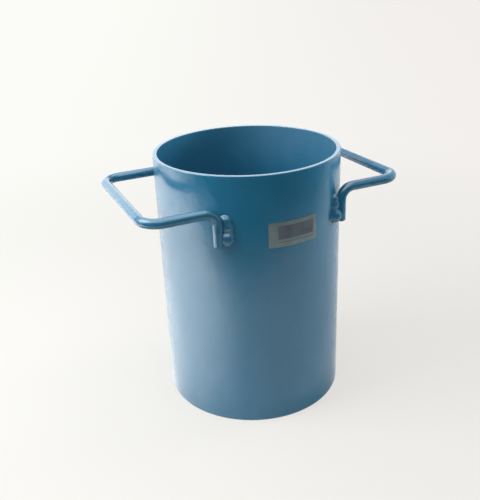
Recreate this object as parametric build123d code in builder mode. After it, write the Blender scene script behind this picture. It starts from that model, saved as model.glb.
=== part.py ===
from build123d import *
from math import cos, degrees, radians, sin, sqrt
import os

# Bulk density measure: an open steel cylinder with two welded bar handles.
# The origin is the middle of the foot ring, +Z is up through the mouth, and the
# handles stand out along -X (left) and +X (right). The front, with the label, is -Y.
# Sizes are in millimetres and angles in degrees.

# Vessel
bore_diameter = 203.0
wall = 5.0
inside_depth = 292.0
base_thickness = 5.0
foot_recess = 3.0
base_clearance = 0.1
base_weld_setback = 0.4
rim_round = 0.8
foot_chamfer = 1.0

# Handles: each is one bent round bar with a grip, two runs and two legs on the wall
bar_diameter = 11.0
finger_room = 38.0
leg_angle = 48.8
handle_drop = 36.5
corner_inside_radius = 14.5
leg_bend_inside_radius = 9.0
leg_straight = 23.5
leg_gap = 0.3
bar_end_chamfer = 1.0

# Weld beads: a row of lumps down each side of a leg, larger towards the bottom.
# A lump is a ball beside the leg, with its middle sunk under the wall's face.
outer_lump_top_radius = 6.6
outer_lump_bottom_radius = 9.3
outer_lump_offset = 6.2
outer_lump_sink = 1.0
outer_lump_pitch = 9.2
outer_bead_top_inset = 5.0
outer_bead_overrun = 1.5
inner_lump_top_radius = 4.6
inner_lump_bottom_radius = 5.2
inner_lump_offset = 3.2
inner_lump_sink = 2.0
inner_lump_pitch = 5.6
inner_bead_top_inset = 1.0
inner_bead_bottom_inset = 0.5

# Label: a thin plate that follows the wall, on a film of glue
label_width = 58.0
label_height = 28.0
label_thickness = 0.3
label_glue = 0.2
label_drop = 66.0
label_shift = 3.0
label_corner_radius = 2.0

# Worked out from the sizes above
bore_radius = bore_diameter / 2
outer_radius = bore_radius + wall
height = foot_recess + base_thickness + inside_depth
base_weld_leg = foot_recess - base_weld_setback
bar_radius = bar_diameter / 2
leg_radius = outer_radius + leg_gap + bar_radius
grip_reach = outer_radius + finger_room + bar_radius
corner_radius = corner_inside_radius + bar_radius
leg_bend_radius = leg_bend_inside_radius + bar_radius
handle_level = height - handle_drop
bend_level = handle_level - leg_bend_radius
leg_end = bend_level - leg_straight

os.makedirs("parts", exist_ok=True)


# Shell: a plain tube, rounded a little at the rim and chamfered at the foot
with BuildPart() as vessel_shell:
    with BuildSketch(Plane.XZ):
        with Locations((bore_radius, 0)):
            Rectangle(wall, height, align=(Align.MIN, Align.MIN))
    revolve(axis=Axis.Z)
    fillet(vessel_shell.edges().group_by(Axis.Z)[-1], radius=rim_round)
    foot_edges = vessel_shell.edges().group_by(Axis.Z)[0].sort_by(SortBy.LENGTH)
    chamfer(foot_edges[-1], length=foot_chamfer)
vessel_shell.part.label = "vessel_shell"
export_step(vessel_shell.part, "parts/vessel_shell.step")


# Base plate: a disc set up inside the shell, so that the measure stands on the shell's edge
with BuildPart() as base_plate:
    with BuildSketch(Plane.XY.offset(foot_recess)):
        Circle(bore_radius - base_clearance)
    extrude(amount=base_thickness)
base_plate.part.label = "base_plate"
export_step(base_plate.part, "parts/base_plate.step")


# Base weld: the ring of weld in the corner between the shell and the plate's underside
with BuildPart() as base_weld:
    with BuildSketch(Plane.XZ):
        with BuildLine():
            corner = (bore_radius, foot_recess)
            toe_on_shell = (bore_radius, foot_recess - base_weld_leg)
            toe_on_plate = (bore_radius - base_weld_leg, foot_recess)
            Line(toe_on_plate, corner)
            Line(corner, toe_on_shell)
            RadiusArc(toe_on_shell, toe_on_plate, 2 * base_weld_leg)
        make_face()
    revolve(axis=Axis.Z)
base_weld.part.label = "base_weld"
export_step(base_weld.part, "parts/base_weld.step")


def lumps(bottom, top, pitch, bottom_radius, top_radius, sink):
    """The height and ball radius of each lump in a bead whose ends are at bottom and top."""
    lowest = bottom + sqrt(bottom_radius**2 - sink**2)
    highest = top - sqrt(top_radius**2 - sink**2)
    steps = max(1, round((highest - lowest) / pitch))
    shares = [step / steps for step in range(steps + 1)]
    return [
        (lowest + share * (highest - lowest), bottom_radius + share * (top_radius - bottom_radius))
        for share in shares
    ]


# The outer bead is on the side of the leg away from the grip. It runs up beside the bend and
# down a little past the leg's end. The inner bead is small and stops under the bend.
# Each row: name, side, offset, sink, lumps.
outer_lumps = lumps(
    leg_end - outer_bead_overrun,
    handle_level - outer_bead_top_inset,
    outer_lump_pitch,
    outer_lump_bottom_radius,
    outer_lump_top_radius,
    outer_lump_sink,
)
inner_lumps = lumps(
    leg_end + inner_bead_bottom_inset,
    bend_level - inner_bead_top_inset,
    inner_lump_pitch,
    inner_lump_bottom_radius,
    inner_lump_top_radius,
    inner_lump_sink,
)
beads = (
    ("outer", 1, outer_lump_offset, outer_lump_sink, outer_lumps),
    ("inner", -1, inner_lump_offset, inner_lump_sink, inner_lumps),
)

# Handles and their weld beads, side by side and leg by leg
for side, outward in (("left", -1), ("right", 1)):
    leg_x = outward * leg_radius * cos(radians(leg_angle))
    leg_y = leg_radius * sin(radians(leg_angle))
    grip_x = outward * grip_reach

    # One bar: up the front leg, out along a run, across the grip, and back the same way
    with BuildPart() as handle:
        with BuildLine() as bar_path:
            FilletPolyline(
                (leg_x, -leg_y, leg_end),
                (leg_x, -leg_y, handle_level),
                (grip_x, -leg_y, handle_level),
                (grip_x, leg_y, handle_level),
                (leg_x, leg_y, handle_level),
                (leg_x, leg_y, leg_end),
                radius=(leg_bend_radius, corner_radius, corner_radius, leg_bend_radius),
            )
        with BuildSketch(Plane(bar_path.line @ 0, z_dir=bar_path.line % 0)):
            Circle(bar_radius)
        sweep(path=bar_path.line)
        bar_ends = handle.edges().filter_by(GeomType.CIRCLE).group_by(Axis.Z)[0]
        chamfer(bar_ends, length=bar_end_chamfer)
    handle.part.label = f"{side}_handle"
    export_step(handle.part, f"parts/{side}_handle.step")

    for leg, along_y in (("front", -1), ("rear", 1)):
        turn = outward * along_y
        leg_azimuth = (90 - 90 * outward) + turn * leg_angle

        # A bead is its lumps, cut to fit the wall and the bar, on its own side of the leg
        for bead_name, bead_side, offset, sink, bead_lumps in beads:
            away = turn * bead_side
            lump_azimuth = leg_azimuth + away * degrees(offset / outer_radius)
            along_wall = (-away * sin(radians(leg_azimuth)), away * cos(radians(leg_azimuth)), 0)
            with BuildPart() as bead:
                with PolarLocations(outer_radius - sink, 1, start_angle=lump_azimuth):
                    for lump_height, lump_radius in bead_lumps:
                        with Locations((0, 0, lump_height)):
                            Sphere(lump_radius)
                with Locations((0, 0, height / 2)):
                    Cylinder(outer_radius, height, mode=Mode.SUBTRACT)
                add(handle.part, mode=Mode.SUBTRACT)
                split(bisect_by=Plane((0, 0, 0), z_dir=along_wall), keep=Keep.TOP)
            bead.part.label = f"{side}_{leg}_{bead_name}_weld"
            export_step(bead.part, f"parts/{side}_{leg}_{bead_name}_weld.step")


# Label: a piece of a thin tube on the wall, a little to the right of the middle of the front
label_arc = degrees(label_width / outer_radius)
label_start = radians(-90 + degrees(label_shift / outer_radius) - label_arc / 2)
label_edge_plane = Plane(
    (0, 0, height - label_drop),
    x_dir=(cos(label_start), sin(label_start), 0),
    z_dir=(sin(label_start), -cos(label_start), 0),
)
with BuildPart() as label_plate:
    with BuildSketch(label_edge_plane):
        with Locations((outer_radius + label_glue, 0)):
            Rectangle(label_thickness, label_height, align=(Align.MIN, Align.CENTER))
    revolve(axis=Axis.Z, revolution_arc=label_arc)
    corners = label_plate.edges().filter_by(GeomType.LINE).group_by(SortBy.LENGTH)[0]
    fillet(corners, radius=label_corner_radius)
label_plate.part.label = "label_plate"
export_step(label_plate.part, "parts/label_plate.step")
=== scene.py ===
import math
import random

import bmesh
import bpy
from mathutils import Matrix, Vector, noise


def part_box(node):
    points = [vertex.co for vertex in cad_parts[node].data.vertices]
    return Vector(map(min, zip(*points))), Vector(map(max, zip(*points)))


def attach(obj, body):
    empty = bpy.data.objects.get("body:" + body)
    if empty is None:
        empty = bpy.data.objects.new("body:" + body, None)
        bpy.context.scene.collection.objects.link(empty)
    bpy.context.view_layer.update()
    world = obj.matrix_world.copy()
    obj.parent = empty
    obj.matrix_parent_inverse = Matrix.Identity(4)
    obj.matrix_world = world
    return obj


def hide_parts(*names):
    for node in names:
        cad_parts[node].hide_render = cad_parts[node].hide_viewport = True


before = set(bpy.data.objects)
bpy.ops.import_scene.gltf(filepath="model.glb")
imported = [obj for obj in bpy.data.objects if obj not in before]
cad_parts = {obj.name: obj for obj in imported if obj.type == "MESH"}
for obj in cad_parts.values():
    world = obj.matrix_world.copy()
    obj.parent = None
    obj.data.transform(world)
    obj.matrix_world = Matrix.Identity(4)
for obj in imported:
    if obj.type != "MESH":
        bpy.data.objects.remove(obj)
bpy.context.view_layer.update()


# Shell: a length of steel tube, cut square, with its edges broken at the rim and the foot.
# It is sprayed inside and out with blue enamel, which dries glossy with a faint orange peel.
# Scoops and strike-off bars have rubbed it dull inside the mouth, most of all on the right.
shell_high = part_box("vessel_shell")[1]
outer_radius = shell_high.x
rim_level = shell_high.z
wall = 0.005
bore_radius = outer_radius - wall
rim_round = 0.0008
rim_round_steps = 5
foot_chamfer = 0.001
foot_chamfer_steps = 2
wall_rings = 24
shell_steps = 240
flat_weight = 100

enamel_blue = (0.015, 0.131, 0.238, 1.0)
enamel_blue_thin = (0.018, 0.143, 0.257, 1.0)
enamel_index = 1.63
cloud_scale = 14.0
cloud_detail = 4.0
smooth_gloss = 0.17
dull_gloss = 0.24
gloss_scale = 45.0
gloss_detail = 3.0
deep_scuff = 0.12
mouth_scuff = 0.44
scuff_depth = 0.075
left_scuff_share = 0.3
right_scuff_start = 0.0
right_scuff_full = 0.10
orange_peel_scale = 180.0
orange_peel_detail = 2.0
orange_peel_depth = 0.00016
primer_grey = (0.018, 0.020, 0.022, 1.0)
chip_place = (0.0659, -0.0837, 0.1054)
chip_radius = 0.0016
chip_full = 1.3 * chip_radius
chip_end = 1.5 * chip_radius
chip_ragged_scale = 900.0
chip_ragged_detail = 2.0


def start_finish(name):
    """A new material, with its node tree, its shader and the places on the piece."""
    material = bpy.data.materials.new(name)
    material.use_nodes = True
    tree = material.node_tree
    places = tree.nodes.new("ShaderNodeTexCoord").outputs["Object"]
    return material, tree, tree.nodes["Principled BSDF"], places


def noise_at(tree, places, scale, detail):
    """A noise over the places on a piece."""
    texture = tree.nodes.new("ShaderNodeTexNoise")
    texture.inputs["Scale"].default_value = scale
    texture.inputs["Detail"].default_value = detail
    tree.links.new(places, texture.inputs["Vector"])
    return texture.outputs["Fac"]


def spread(tree, value, lowest, highest, start=0.3, end=0.7):
    """Maps a value from start to end on to a range. A noise lies mostly between 0.3 and 0.7."""
    ramp = tree.nodes.new("ShaderNodeMapRange")
    ramp.interpolation_type = "SMOOTHSTEP"
    ramp.inputs["From Min"].default_value = start
    ramp.inputs["From Max"].default_value = end
    ramp.inputs["To Min"].default_value = lowest
    ramp.inputs["To Max"].default_value = highest
    tree.links.new(value, ramp.inputs["Value"])
    return ramp.outputs["Result"]


def work_out(tree, operation, *values):
    """One step of arithmetic on values, each a fixed number or another node's output."""
    step = tree.nodes.new("ShaderNodeMath")
    step.operation = operation
    for socket, value in zip(step.inputs, values):
        if isinstance(value, float):
            socket.default_value = value
        else:
            tree.links.new(value, socket)
    return step.outputs["Value"]


def distance_from(tree, places, point):
    """How far each place on a piece is from a point."""
    distance = tree.nodes.new("ShaderNodeVectorMath")
    distance.operation = "DISTANCE"
    distance.inputs[1].default_value = point
    tree.links.new(places, distance.inputs[0])
    return distance.outputs["Value"]


def blend_colours(tree, share, first, second):
    """Mixes two colours, each a fixed colour or another node's output."""
    mix = tree.nodes.new("ShaderNodeMix")
    mix.data_type = "RGBA"
    tree.links.new(share, mix.inputs["Factor"])
    for name, colour in (("A", first), ("B", second)):
        if isinstance(colour, tuple):
            mix.inputs[name].default_value = colour
        else:
            tree.links.new(colour, mix.inputs[name])
    return mix.outputs["Result"]


def make_enamel(name, low_scuff, high_scuff):
    """Blue enamel with clouds, a chip and orange peel, and scuffs that grow towards the mouth."""
    material, tree, shader, places = start_finish(name)
    shader.inputs["IOR"].default_value = enamel_index

    # Colour: cloudy where the coat is thin, and primer in the chip, whose edge a noise makes ragged
    clouds = noise_at(tree, places, cloud_scale, cloud_detail)
    thinness = spread(tree, clouds, 0.0, 1.0)
    paint = blend_colours(tree, thinness, enamel_blue, enamel_blue_thin)
    ragged = noise_at(tree, places, chip_ragged_scale, chip_ragged_detail)
    from_chip = distance_from(tree, places, chip_place)
    ragged_distance = work_out(tree, "MULTIPLY_ADD", ragged, chip_radius, from_chip)
    chipped = spread(tree, ragged_distance, 1.0, 0.0, chip_full, chip_end)
    tree.links.new(blend_colours(tree, chipped, paint, primer_grey), shader.inputs["Base Color"])

    # Gloss: uneven all over, and rubbed duller towards the mouth and the right
    uneven = noise_at(tree, places, gloss_scale, gloss_detail)
    gloss = spread(tree, uneven, smooth_gloss, dull_gloss)
    axes = tree.nodes.new("ShaderNodeSeparateXYZ")
    tree.links.new(places, axes.inputs["Vector"])
    scuff_start = rim_level - scuff_depth
    upwards = spread(tree, axes.outputs["Z"], 0.0, high_scuff - low_scuff, scuff_start, rim_level)
    sideways = spread(tree, axes.outputs["X"], left_scuff_share, 1.0, right_scuff_start, right_scuff_full)
    rubbed = work_out(tree, "MULTIPLY_ADD", upwards, sideways, low_scuff)
    tree.links.new(work_out(tree, "ADD", gloss, rubbed), shader.inputs["Roughness"])

    # Orange peel
    peel = noise_at(tree, places, orange_peel_scale, orange_peel_detail)
    bump = tree.nodes.new("ShaderNodeBump")
    bump.inputs["Distance"].default_value = orange_peel_depth
    bump.inputs["Strength"].default_value = 1.0
    tree.links.new(peel, bump.inputs["Height"])
    tree.links.new(bump.outputs["Normal"], shader.inputs["Normal"])
    return material


def make_object(name, shape, *materials):
    """Makes an object in the scene from a finished shape."""
    mesh = bpy.data.meshes.new(name)
    shape.to_mesh(mesh)
    shape.free()
    for material in materials:
        mesh.materials.append(material)
    made = bpy.data.objects.new(name, mesh)
    bpy.context.scene.collection.objects.link(made)
    return made


def finish_piece(name, shape, slot, node, *materials):
    """Makes a piece with its finish, and lets it stand for its node in the frame."""
    piece = make_object(name, shape, *materials)
    piece.data.shade_smooth()
    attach(piece, "root")
    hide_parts(node)
    return piece


def keep_flats_flat(piece):
    """Shades flat faces flat beside their rounded edges."""
    shading = piece.modifiers.new("flats", "WEIGHTED_NORMAL")
    shading.weight = flat_weight


def round_corners(shape, corners, size, steps):
    """Rounds or breaks some corners of a flat outline."""
    bmesh.ops.bevel(
        shape, geom=corners, offset=size, affect="VERTICES", segments=steps, profile=0.5, material=-1
    )


def spin_round(shape, steps):
    """Turns a section about the measure's axis into a closed ring."""
    bmesh.ops.spin(
        shape,
        geom=shape.verts[:] + shape.edges[:],
        cent=(0, 0, 0),
        axis=(0, 0, 1),
        angle=math.tau,
        steps=steps,
        use_merge=True,
    )
    bmesh.ops.recalc_face_normals(shape, faces=shape.faces[:])


enamel = make_enamel("blue_enamel", low_scuff=0.0, high_scuff=0.0)
scuffed_enamel = make_enamel("scuffed_enamel", low_scuff=deep_scuff, high_scuff=mouth_scuff)

tube = bmesh.new()
tube_corners = [
    tube.verts.new((bore_radius, 0, 0)),
    tube.verts.new((outer_radius, 0, 0)),
    tube.verts.new((outer_radius, 0, rim_level)),
    tube.verts.new((bore_radius, 0, rim_level)),
]
tube.faces.new(tube_corners)
rim_corners = tube_corners[2:]
foot_corner = tube_corners[1:2]
round_corners(tube, rim_corners, rim_round, rim_round_steps)
round_corners(tube, foot_corner, foot_chamfer, foot_chamfer_steps)
bmesh.ops.delete(tube, geom=tube.faces[:], context="FACES_ONLY")
long_edges = [edge for edge in tube.edges if edge.calc_length() > rim_level / 2]
bmesh.ops.subdivide_edges(tube, edges=long_edges, cuts=wall_rings)
spin_round(tube, shell_steps)
for face in tube.faces:
    in_bore = face.calc_center_median().xy.length < bore_radius
    face.material_index = 1 if in_bore else 0
shell = finish_piece("shell", tube, "blue_enamel", "vessel_shell", enamel, scuffed_enamel)
keep_flats_flat(shell)


# Base plate: a steel disc set up inside the tube, so that the measure stands on the tube's edge.
# The enamel has run into the corner round it and left a small fillet.
plate_low, plate_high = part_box("base_plate")
plate_top = plate_high.z
plate_bottom = plate_low.z
paint_fillet = 0.0020
fillet_hollow = paint_fillet * (1 - math.sqrt(0.5))
merge_distance = 0.00001


def draw_section(points, closed):
    """Draws one half of a round piece's section, through points at a radius and a level."""
    section = bmesh.new()
    verts = [section.verts.new((radius, 0, level)) for radius, level in points]
    next_verts = verts[1:] + verts[:1] if closed else verts[1:]
    for start_vert, end_vert in zip(verts, next_verts):
        section.edges.new((start_vert, end_vert))
    return section


disc_points = (
    (0, plate_bottom),
    (bore_radius, plate_bottom),
    (bore_radius, plate_top + paint_fillet),
    (bore_radius - fillet_hollow, plate_top + fillet_hollow),
    (bore_radius - paint_fillet, plate_top),
    (0, plate_top),
)
disc = draw_section(disc_points, closed=False)
spin_round(disc, shell_steps)
bmesh.ops.remove_doubles(disc, verts=disc.verts[:], dist=merge_distance)
bmesh.ops.recalc_face_normals(disc, faces=disc.faces[:])
base_plate = finish_piece("plate", disc, "blue_enamel", "base_plate", enamel)
keep_flats_flat(base_plate)


# Base weld: the plate is welded to the tube underneath, in one run all the way round, with a
# slightly hollow face. Each ripple is where the pool of metal froze as the torch moved on.
weld_leg = plate_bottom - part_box("base_weld")[0].z
weld_sunk = 0.0005
face_far = 0.62 * weld_leg
face_near = 0.25 * weld_leg
ripple_count = 260
steps_in_ripple = 4
ripple_depth = 0.0003
still_edge = 0.1 * weld_leg

ring_points = (
    (bore_radius - weld_leg, plate_bottom + weld_sunk),
    (bore_radius - weld_leg, plate_bottom),
    (bore_radius - face_far, plate_bottom - face_near),
    (bore_radius - face_near, plate_bottom - face_far),
    (bore_radius, plate_bottom - weld_leg),
    (bore_radius + weld_sunk, plate_bottom - weld_leg),
)
ring = draw_section(ring_points, closed=True)
spin_round(ring, ripple_count * steps_in_ripple)
for vert in ring.verts:
    from_wall = bore_radius - vert.co.xy.length
    if still_edge < from_wall < weld_leg - still_edge:
        turned = math.atan2(vert.co.y, vert.co.x)
        vert.co.z += ripple_depth * abs(math.sin(turned * ripple_count / 2))
finish_piece("ring_weld", ring, "blue_enamel", "base_weld", enamel)


# Handles: each is one round bar, bent cold at four places, with its legs turned down on the wall.
# The ends of the bar are sawn square and the sharp edge is filed off.
bar_diameter = 0.011
bar_radius = bar_diameter / 2
corner_former = 0.0145
corner_radius = corner_former + bar_radius
leg_bend_former = 0.0090
leg_bend_radius = leg_bend_former + bar_radius
bar_end_chamfer = 0.001
bar_sides = 40
bend_steps = 16
handle_low, handle_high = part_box("right_handle")
grip_reach = handle_high.x - bar_radius
handle_level = handle_high.z - bar_radius
bend_level = handle_level - leg_bend_radius
leg_end = handle_low.z
leg_x = handle_low.x + bar_radius
leg_y = handle_high.y - bar_radius


def free_end(made):
    """The edges and vertices at the end of what has just been drawn out or bent."""
    edges = [part for part in made if isinstance(part, bmesh.types.BMEdge)]
    verts = [part for part in made if isinstance(part, bmesh.types.BMVert)]
    return edges, verts


def draw_out(bar, edges, by):
    """Lengthens the bar from its free end."""
    edges, verts = free_end(bmesh.ops.extrude_edge_only(bar, edges=edges)["geom"])
    bmesh.ops.translate(bar, verts=verts, vec=by)
    return edges


def bend(bar, edges, centre, axis, angle):
    """Bends the bar on from its free end."""
    verts = list({vert for edge in edges for vert in edge.verts})
    made = bmesh.ops.spin(
        bar, geom=edges + verts, cent=centre, axis=axis, angle=angle, steps=bend_steps, use_merge=False
    )
    return free_end(made["geom_last"])[0]


for side, outward in (("left", -1), ("right", 1)):
    bar = bmesh.new()
    leg_foot = Vector((outward * leg_x, -leg_y, leg_end))
    bmesh.ops.create_circle(
        bar,
        cap_ends=True,
        segments=bar_sides,
        radius=bar_radius - bar_end_chamfer,
        matrix=Matrix.Translation(leg_foot),
    )
    edges, verts = free_end(bmesh.ops.extrude_edge_only(bar, edges=bar.edges[:])["geom"])
    widen = bar_radius / (bar_radius - bar_end_chamfer)
    bmesh.ops.scale(bar, verts=verts, vec=(widen, widen, 1), space=Matrix.Translation(-leg_foot))
    bmesh.ops.translate(bar, verts=verts, vec=(0, 0, bar_end_chamfer))
    edges = draw_out(bar, edges, (0, 0, bend_level - leg_end - bar_end_chamfer))
    bend_centre = (outward * (leg_x + leg_bend_radius), -leg_y, bend_level)
    edges = bend(bar, edges, bend_centre, (0, 1, 0), outward * math.pi / 2)
    run = grip_reach - corner_radius - leg_x - leg_bend_radius
    edges = draw_out(bar, edges, (outward * run, 0, 0))
    corner_centre = (outward * (grip_reach - corner_radius), corner_radius - leg_y, handle_level)
    edges = bend(bar, edges, corner_centre, (0, 0, 1), outward * math.pi / 2)
    draw_out(bar, edges, (0, leg_y - corner_radius, 0))
    half = bar.verts[:] + bar.edges[:] + bar.faces[:]
    bmesh.ops.mirror(bar, geom=half, axis="Y", merge_dist=merge_distance)
    bmesh.ops.remove_doubles(bar, verts=bar.verts[:], dist=merge_distance)
    bmesh.ops.recalc_face_normals(bar, faces=bar.faces[:])
    handle = finish_piece(f"{side}_bar", bar, "blue_enamel", f"{side}_handle", enamel)
    keep_flats_flat(handle)


# Leg welds: a coarse bead runs down each side of each leg, in a few large lumps, and is painted
# over. The outer bead, away from the grip, is the large one and reaches up beside the bend.
# A lump is given by its share of the way up, its radius, and how far its middle is sunk in the wall.
outer_lumps = (
    (0.0, 0.0092, 0.0002),
    (0.27, 0.0080, 0.0022),
    (0.64, 0.0072, 0.0010),
    (1.0, 0.0064, 0.0010),
)
inner_lumps = (
    (0.0, 0.0052, 0.002),
    (0.33, 0.0050, 0.002),
    (0.67, 0.0048, 0.002),
    (1.0, 0.0046, 0.002),
)
outer_bead_offset = 0.0068
inner_bead_offset = 0.0032
lump_subdivisions = 3
lump_jitter = 0.0006
skirt_depth = 0.00025
skirt_thickness = 0.002
skirt_margin = 0.003
skirt_under_leg = 0.002
skirt_steps = 8
weld_voxel = 0.0007
ease_share = 0.5
ease_rounds = 9
scale_depth = 0.00018
scale_size = 420.0
weld_root = 0.0042
leg_angle = math.degrees(math.atan2(leg_y, leg_x))


def wall_patch(shape, start, end, bottom, top):
    """A piece of thin tube just under the wall's face, for the lumps to flow out on."""
    outer = outer_radius - skirt_depth
    inner = outer_radius - skirt_depth - skirt_thickness
    corners = [
        shape.verts.new((radius * math.cos(start), radius * math.sin(start), level))
        for radius, level in ((inner, bottom), (outer, bottom), (outer, top), (inner, top))
    ]
    face = shape.faces.new(corners)
    bmesh.ops.spin(
        shape,
        geom=[face] + corners + list(face.edges),
        cent=(0, 0, 0),
        axis=(0, 0, 1),
        angle=end - start,
        steps=skirt_steps,
        use_merge=False,
    )
    bmesh.ops.recalc_face_normals(shape, faces=shape.faces[:])


def melt(shape):
    """Fuses overlapping lumps into one skin and eases it, as melted metal and paint do."""
    lumps = make_object("melt", shape)
    fuse = lumps.modifiers.new("fuse", "REMESH")
    fuse.mode = "VOXEL"
    fuse.voxel_size = weld_voxel
    ease = lumps.modifiers.new("ease", "SMOOTH")
    ease.factor = ease_share
    ease.iterations = ease_rounds
    melted = lumps.evaluated_get(bpy.context.evaluated_depsgraph_get())
    fused = bmesh.new()
    fused.from_mesh(melted.to_mesh())
    bpy.data.objects.remove(lumps)
    bmesh.ops.recalc_face_normals(fused, faces=fused.faces[:])
    return fused


def cut_inside_wall(bead, leg_azimuth):
    """Cuts a bead off flat inside the wall, where it doesn't show."""
    out_from_wall = Vector((math.cos(leg_azimuth), math.sin(leg_azimuth), 0))
    cut = bmesh.ops.bisect_plane(
        bead,
        geom=bead.verts[:] + bead.edges[:] + bead.faces[:],
        plane_co=out_from_wall * (outer_radius - weld_root),
        plane_no=out_from_wall,
        clear_inner=True,
    )
    rim_edges = [part for part in cut["geom_cut"] if isinstance(part, bmesh.types.BMEdge)]
    bmesh.ops.holes_fill(bead, edges=rim_edges)


def lay_bead(node, leg_azimuth, away, bead_offset, lumps):
    """One bead: a row of lumps up the wall beside a leg, melted together, with a fine scale on it."""
    bead_low, bead_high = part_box(node)
    chance = random.Random(node)
    reaches = [math.sqrt(radius**2 - sink**2) for share, radius, sink in lumps]
    lowest = bead_low.z + reaches[0]
    highest = bead_high.z - reaches[-1]
    shape = bmesh.new()
    for share, radius, sink in lumps:
        level = lowest + share * (highest - lowest) + chance.uniform(-lump_jitter, lump_jitter)
        offset = bead_offset + chance.uniform(-lump_jitter, lump_jitter)
        lump_azimuth = leg_azimuth + away * offset / outer_radius
        from_axis = outer_radius - sink
        centre = (from_axis * math.cos(lump_azimuth), from_axis * math.sin(lump_azimuth), level)
        bmesh.ops.create_icosphere(
            shape, subdivisions=lump_subdivisions, radius=radius, matrix=Matrix.Translation(centre)
        )
    largest_radius = lumps[0][1]
    skirt_width = bead_offset + largest_radius + skirt_margin
    far_side = leg_azimuth + away * skirt_width / outer_radius
    near_side = leg_azimuth - away * skirt_under_leg / outer_radius
    wall_patch(
        shape,
        start=min(near_side, far_side),
        end=max(near_side, far_side),
        bottom=bead_low.z - skirt_margin,
        top=bead_high.z + skirt_margin,
    )
    bead = melt(shape)
    for vert in bead.verts:
        vert.co += vert.normal * scale_depth * noise.noise(vert.co * scale_size)
    cut_inside_wall(bead, leg_azimuth)
    return bead


for side, outward in (("left", -1), ("right", 1)):
    for leg, along_y in (("front", -1), ("rear", 1)):
        turn_way = outward * along_y
        leg_azimuth = math.radians((90 - 90 * outward) + turn_way * leg_angle)
        for kind, away_from_grip, bead_offset, lumps in (
            ("outer", 1, outer_bead_offset, outer_lumps),
            ("inner", -1, inner_bead_offset, inner_lumps),
        ):
            node = f"{side}_{leg}_{kind}_weld"
            bead = lay_bead(node, leg_azimuth, turn_way * away_from_grip, bead_offset, lumps)
            finish_piece(f"{side}_{leg}_{kind}_bead", bead, "blue_enamel", node, enamel)


# Label: a thin foil plate, stuck to the wall and bent to its curve. A dark panel is printed on it,
# for a number to be scratched in, with a rule under it. The panel is empty and rubbed thin.
label_low, label_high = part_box("label_plate")
label_width = 0.058
label_height = label_high.z - label_low.z
label_thickness = 0.0003
label_face = -label_low.y
label_shift = 0.003
label_level = (label_low.z + label_high.z) / 2
label_corner = 0.002
label_corner_steps = 4
label_bends = 24
cut_tolerance = 0.000001
panel_margin = 0.0045
panel_left_margin = 0.0105
panel_bottom_margin = 0.0085
rule_margin = 0.0050
rule_width = 0.0008

foil_grey = (0.20, 0.27, 0.28, 1.0)
foil_grey_dull = (0.16, 0.22, 0.23, 1.0)
foil_metallic = 0.5
foil_roughness = 0.42
ink_dark = (0.052, 0.070, 0.090, 1.0)
ink_rubbed = (0.080, 0.103, 0.130, 1.0)
ink_metallic = 0.0
ink_roughness = 0.5
handling_scale = 120.0
handling_detail = 5.0
grain_scale = 700.0
grain_detail = 2.0
grain_roughness = 0.06


def make_label_finish(name, colour, other_colour, metallic, roughness):
    """Foil or ink: a fine grain and a cloudy tone from handling."""
    material, tree, shader, places = start_finish(name)
    shader.inputs["Metallic"].default_value = metallic
    handling = noise_at(tree, places, handling_scale, handling_detail)
    share = spread(tree, handling, 0.0, 1.0)
    tree.links.new(blend_colours(tree, share, colour, other_colour), shader.inputs["Base Color"])
    grain = noise_at(tree, places, grain_scale, grain_detail)
    gloss = spread(tree, grain, roughness - grain_roughness, roughness + grain_roughness)
    tree.links.new(gloss, shader.inputs["Roughness"])
    return material


def cut_across(shape, cuts, axis):
    """Cuts a flat shape straight across at each place along an axis."""
    for cut in cuts:
        bmesh.ops.bisect_plane(
            shape,
            geom=shape.verts[:] + shape.edges[:] + shape.faces[:],
            dist=cut_tolerance,
            plane_co=cut * Vector(axis),
            plane_no=axis,
        )


foil = make_label_finish("label_foil", foil_grey, foil_grey_dull, foil_metallic, foil_roughness)
ink = make_label_finish("label_ink", ink_dark, ink_rubbed, ink_metallic, ink_roughness)

label_shape = bmesh.new()
half_width, half_height = label_width / 2, label_height / 2
label_corners = [
    label_shape.verts.new((-half_width, 0, -half_height)),
    label_shape.verts.new((half_width, 0, -half_height)),
    label_shape.verts.new((half_width, 0, half_height)),
    label_shape.verts.new((-half_width, 0, half_height)),
]
label_shape.faces.new(label_corners)
round_corners(label_shape, label_corners, label_corner, label_corner_steps)
print_left, print_right = panel_left_margin - half_width, half_width - panel_margin
panel_low, panel_high = panel_bottom_margin - half_height, half_height - panel_margin
rule_low, rule_high = rule_margin - half_height, rule_margin + rule_width - half_height
bend_cuts = [half_width * (2 * count / label_bends - 1) for count in range(1, label_bends)]
cut_across(label_shape, [print_left, print_right, *bend_cuts], (1, 0, 0))
cut_across(label_shape, [rule_low, rule_high, panel_low, panel_high], (0, 0, 1))
for face in label_shape.faces:
    middle = face.calc_center_median()
    on_panel = panel_low < middle.z < panel_high
    on_rule = rule_low < middle.z < rule_high
    printed = print_left < middle.x < print_right and (on_panel or on_rule)
    face.material_index = 1 if printed else 0
bmesh.ops.solidify(label_shape, geom=label_shape.faces[:], thickness=label_thickness)
for vert in label_shape.verts:
    around = (vert.co.x + label_shift) / outer_radius
    reach = label_face - vert.co.y
    vert.co = (reach * math.sin(around), -reach * math.cos(around), label_level + vert.co.z)
bmesh.ops.recalc_face_normals(label_shape, faces=label_shape.faces[:])
label = finish_piece("label", label_shape, "label_foil", "label_plate", foil, ink)
keep_flats_flat(label)


# Camera: it stands where the photograph was taken from, above the rim, in front and a little to the
# left of the label. Its place is given as if it stood straight in front, and is then turned.
view_turn = math.radians(-24.65)
camera_distance = 0.7345
camera_height = 0.5037
camera_pitch = math.radians(24.275)
camera_yaw = math.radians(0.934)
camera_roll = math.radians(-2.44)
camera_lens = 47.72
camera_sensor = 36.0
nearest_seen = 0.01

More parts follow.
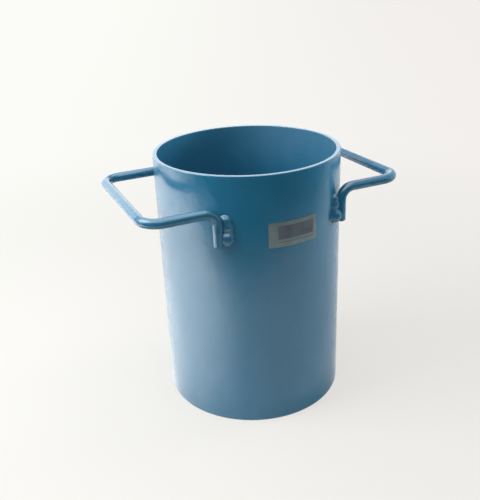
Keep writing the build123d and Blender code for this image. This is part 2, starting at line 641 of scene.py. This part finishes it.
camera = bpy.data.cameras.new("camera")
camera.lens = camera_lens
camera.sensor_width = camera_sensor
camera.clip_start = nearest_seen
camera_object = bpy.data.objects.new("camera", camera)
bpy.context.scene.collection.objects.link(camera_object)
to_camera_side = Matrix.Rotation(view_turn, 4, "Z")
camera_object.matrix_world = (
    to_camera_side
    @ Matrix.Translation((0, -camera_distance, camera_height))
    @ Matrix.Rotation(camera_yaw, 4, "Z")
    @ Matrix.Rotation(math.pi / 2 - camera_pitch, 4, "X")
    @ Matrix.Rotation(camera_roll, 4, "Z")
)
bpy.context.scene.camera = camera_object


# Floor: a wide sheet of white paper. Near the measure the lamps light it and it takes the shadow.
# Further out, the camera and reflections see it run into a glowing pale background, which turns from a
# whiter tone on the left to a greyer one on the right: painted light, brighter on the left lamp's side.
paper_white = (0.59, 0.579, 0.566, 1.0)
paper_roughness = 0.9
background_left = (0.97, 0.975, 0.935, 1.0)
background_right = (0.885, 0.86, 0.835, 1.0)
floor_radius = 30.0
floor_sides = 96
floor_level = -0.0001
lit_radius = 0.15
background_radius = 1.2
near_glow = 0.64
turning_width = 0.68
turning_growth = 0.22


def towards(tree, places, bearing):
    """How far a place or a direction lies towards a bearing, in degrees from the camera's right."""
    facing = tree.nodes.new("ShaderNodeMapping")
    facing.inputs["Rotation"].default_value = (0, 0, -view_turn - math.radians(bearing))
    tree.links.new(places, facing.inputs["Vector"])
    axes = tree.nodes.new("ShaderNodeSeparateXYZ")
    tree.links.new(facing.outputs["Vector"], axes.inputs["Vector"])
    return axes.outputs["X"]


def background_rays(tree):
    """1 for the rays that see the background itself: the camera's, and those in gloss and glass."""
    path = tree.nodes.new("ShaderNodeLightPath")
    seen = path.outputs["Is Camera Ray"]
    for other in ("Is Glossy Ray", "Is Transmission Ray"):
        seen = work_out(tree, "MAXIMUM", seen, path.outputs[other])
    return seen


def background_colour(tree, to_right, width):
    """The background's colour, which turns from its left tone to its right tone within a width.
    Its lighter left side is painted light from the left lamp.
    """
    share = work_out(tree, "DIVIDE", to_right, width)
    turning = spread(tree, share, 0.0, 1.0, -1.0, 1.0)
    return blend_colours(tree, turning, background_left, background_right)


def show_either(tree, share, first, second, output="Material Output"):
    """Shows the second surface for a share, and the first for the rest."""
    join = tree.nodes.new("ShaderNodeMixShader")
    tree.links.new(share, join.inputs["Fac"])
    tree.links.new(first, join.inputs[1])
    tree.links.new(second, join.inputs[2])
    tree.links.new(join.outputs["Shader"], tree.nodes[output].inputs["Surface"])


def make_paper():
    """White paper that fades into the background colour with the distance from the measure."""
    material, tree, shader, places = start_finish("floor_paper")
    shader.inputs["Base Color"].default_value = paper_white
    shader.inputs["Roughness"].default_value = paper_roughness
    shader.inputs["Specular IOR Level"].default_value = 0.0
    distance = distance_from(tree, places, (0, 0, 0))
    fade = spread(tree, distance, near_glow, 1.0, lit_radius, background_radius)
    share = work_out(tree, "MULTIPLY", fade, background_rays(tree))
    width = work_out(tree, "MULTIPLY_ADD", distance, turning_growth, turning_width)
    colour = background_colour(tree, towards(tree, places, 0), width)
    glow = tree.nodes.new("ShaderNodeEmission")
    tree.links.new(colour, glow.inputs["Color"])
    show_either(tree, share, shader.outputs["BSDF"], glow.outputs["Emission"])
    return material


floor_disc = bmesh.new()
bmesh.ops.create_circle(floor_disc, cap_ends=True, segments=floor_sides, radius=floor_radius)
bmesh.ops.translate(floor_disc, verts=floor_disc.verts[:], vec=(0, 0, floor_level))
floor = make_object("floor", floor_disc, make_paper())


# Light: a large soft box on the left lights the paint and the paper, and a small fill on the right
# isn't seen in the gloss. Two wide boxes, behind and above, are seen only in the gloss.
fill_spread = math.radians(70)


def soft_box(name, place, aim, width, length, power, lights="all"):
    """A lamp that faces a point. Its place is given as seen from the camera's side."""
    lamp = bpy.data.lights.new(name, "AREA")
    lamp.shape = "RECTANGLE"
    lamp.size = width
    lamp.size_y = length
    lamp.energy = power
    lamp_object = bpy.data.objects.new(name, lamp)
    bpy.context.scene.collection.objects.link(lamp_object)
    direction = to_camera_side @ (Vector(aim) - Vector(place))
    lamp_object.location = to_camera_side @ Vector(place)
    lamp_object.rotation_euler = direction.to_track_quat("-Z", "Y").to_euler()
    lamp_object.visible_camera = False
    lamp_object.visible_diffuse = lights != "gloss"
    lamp_object.visible_glossy = lights != "paint"
    return lamp


soft_box(
    "left_box",
    place=(-0.80, -0.22, 0.88),
    aim=(0, 0, 0.25),
    width=0.7,
    length=0.7,
    power=11.2,
)
soft_box(
    "back_box",
    place=(-0.42, 1.30, 0.48),
    aim=(0, 0, 0.2),
    width=2.1,
    length=0.9,
    power=8.8,
    lights="gloss",
)
soft_box(
    "top_box",
    place=(-0.10, -0.20, 1.40),
    aim=(0, -0.2, 0.2),
    width=2.4,
    length=1.8,
    power=34.0,
    lights="gloss",
)
fill_box = soft_box(
    "fill_box",
    place=(0.80, 0.29, 0.36),
    aim=(0, 0, 0.42),
    width=0.4,
    length=0.3,
    power=1.4,
    lights="paint",
)
fill_box.spread = fill_spread


# Cards: sheets that the camera doesn't see. They paint light and shade into the wall's gloss: the
# lamp's sheen on the paper, the measure's own shade at its foot, and the dark of the room in front and
# on the right.
card_size = 2.0
card_black = (0.004, 0.004, 0.004, 1.0)
card_gap = 0.001


def start_card(name):
    """A card's material, with no surface yet, its node tree and the places on the card."""
    material, tree, shader, places = start_finish(name)
    tree.nodes.remove(shader)
    return material, tree, places


def black_surface(tree):
    """The surface of a black card."""
    surface = tree.nodes.new("ShaderNodeBsdfDiffuse")
    surface.inputs["Color"].default_value = card_black
    return surface.outputs["BSDF"]


def lying(height):
    """The place of a card that lies flat over the paper."""
    return Matrix.Translation((0, 0, height))


def set_card(name, material, surface, cover, place, shades):
    """Puts up a card that is clear where its cover is 0. It shows in gloss, and may shade the wall."""
    tree = material.node_tree
    clear = tree.nodes.new("ShaderNodeBsdfTransparent")
    show_either(tree, cover, clear.outputs["BSDF"], surface)
    card = bmesh.new()
    bmesh.ops.create_grid(card, x_segments=1, y_segments=1, size=card_size)
    bmesh.ops.transform(card, verts=card.verts[:], matrix=to_camera_side @ place)
    sheet = make_object(name, card, material)
    sheet.visible_camera = False
    sheet.visible_diffuse = shades
    sheet.visible_shadow = False


# A glowing card paints the left lamp's sheen on the paper, seen at a low angle. It swings round from
# the front to the left, and fades far off on the left, out in front, and where it is seen steeply.
# Close to the foot it fades too, as painted shade of the measure on the sheen.
sheen_strength = 3.85
sheen_pivot = 0.05
sheen_rise = (0.0, math.radians(68))
sheen_fall = (math.radians(70), math.radians(175))
sheen_far_bearing = 232
sheen_far_fade = (0.54, 0.88)
sheen_front_fade = (0.33, 0.47)
sheen_foot_bearing = 207
sheen_foot_share = 0.62
sheen_foot_fade = (0.09, 0.18)
sheen_slant = (0.25, 0.55)

shiny, tree, places = start_card("sheen")
surface = tree.nodes.new("ShaderNodeEmission")
surface.inputs["Strength"].default_value = sheen_strength
to_left = towards(tree, places, 180)
to_front = towards(tree, places, -90)
to_far_left = towards(tree, places, sheen_far_bearing)
from_foot = towards(tree, places, sheen_foot_bearing)
slant = tree.nodes.new("ShaderNodeLayerWeight")
swing = work_out(tree, "ARCTAN2", to_left, work_out(tree, "SUBTRACT", to_front, sheen_pivot))
rising = spread(tree, swing, 0.0, 1.0, *sheen_rise)
falling = spread(tree, swing, 1.0, 0.0, *sheen_fall)
ending = spread(tree, to_far_left, 1.0, 0.0, *sheen_far_fade)
stopping = spread(tree, to_front, 1.0, 0.0, *sheen_front_fade)
# painted shade: the sheen is weaker close beside the measure's foot
nearing = spread(tree, from_foot, sheen_foot_share, 1.0, *sheen_foot_fade)
low = spread(tree, slant.outputs["Facing"], 0.0, 1.0, *sheen_slant)
cover = rising
for share in (falling, ending, stopping, nearing, low):
    cover = work_out(tree, "MULTIPLY", cover, share)
set_card("sheen", shiny, surface.outputs["Emission"], cover, lying(card_gap), shades=False)

# The measure's own shade on the paper, close to its foot on the side away from the left lamp
shade_reach = 0.036
shade_bearing = -45
shade_depth = 0.45
shade_fade = (0.085, 0.115)

shaded, tree, places = start_card("foot_shade")
from_axis = distance_from(tree, places, (0, 0, 0))
close = spread(tree, from_axis, 1.0, 0.0, outer_radius, outer_radius + shade_reach)
away_from_lamp = spread(tree, towards(tree, places, shade_bearing), 0.0, shade_depth, *shade_fade)
cover = work_out(tree, "MULTIPLY", close, away_from_lamp)
set_card("foot_shade", shaded, black_surface(tree), cover, lying(1.5 * card_gap), shades=False)

# Black cards on the paper in front and on the right, and one that stands behind the camera. They are
# painted shade, for the unlit room on those sides. Each has a bearing, the distances at which it starts
# and is full, its place, and whether it shades the wall. The shortest rays pass through, so that the
# paper under a card stays light.
behind_camera = -0.85
flag_top = 0.85
shortest_ray = (0.05, 0.10)
standing = Matrix.Rotation(math.pi / 2, 4, "X")
upright = Matrix.Translation((0, behind_camera, flag_top - card_size)) @ standing

for name, bearing, fade, place, shades in (
    ("front_card", -90, (0.38, 0.62), lying(2 * card_gap), True),
    ("side_card", -37, (0.48, 0.80), lying(3 * card_gap), True),
    ("flag", -90, (0.40, 0.66), upright, False),
):
    dark, tree, places = start_card(name)
    edge = spread(tree, towards(tree, places, bearing), 0.0, 1.0, *fade)
    path = tree.nodes.new("ShaderNodeLightPath")
    off_the_paper = spread(tree, path.outputs["Ray Length"], 0.0, 1.0, *shortest_ray)
    cover = work_out(tree, "MULTIPLY", edge, off_the_paper)
    set_card(name, dark, black_surface(tree), cover, place, shades)


# Room: pale all round with a bright ceiling, so that it lights the paint evenly. The camera, gloss and
# glass see the paper's glowing background there instead, with its painted light on the left. Colours
# are shown as they are, with no film look.
room_white = (1.0, 0.99, 0.97, 1.0)
room_sides = 0.36
room_ceiling = 1.25
ceiling_fade = (0.3, 0.8)

world = bpy.data.worlds.new("pale_room")
bpy.context.scene.world = world
world.use_nodes = True
tree = world.node_tree
directions = tree.nodes.new("ShaderNodeTexCoord").outputs["Generated"]
axes = tree.nodes.new("ShaderNodeSeparateXYZ")
tree.links.new(directions, axes.inputs["Vector"])
room = tree.nodes["Background"]
room.inputs["Color"].default_value = room_white
room_level = spread(tree, axes.outputs["Z"], room_sides, room_ceiling, *ceiling_fade)
tree.links.new(room_level, room.inputs["Strength"])
backdrop = tree.nodes.new("ShaderNodeBackground")
far_colour = background_colour(tree, towards(tree, directions, 0), turning_growth)
tree.links.new(far_colour, backdrop.inputs["Color"])
show_either(
    tree,
    background_rays(tree),
    room.outputs["Background"],
    backdrop.outputs["Background"],
    output="World Output",
)
bpy.context.scene.view_settings.view_transform = "Standard"
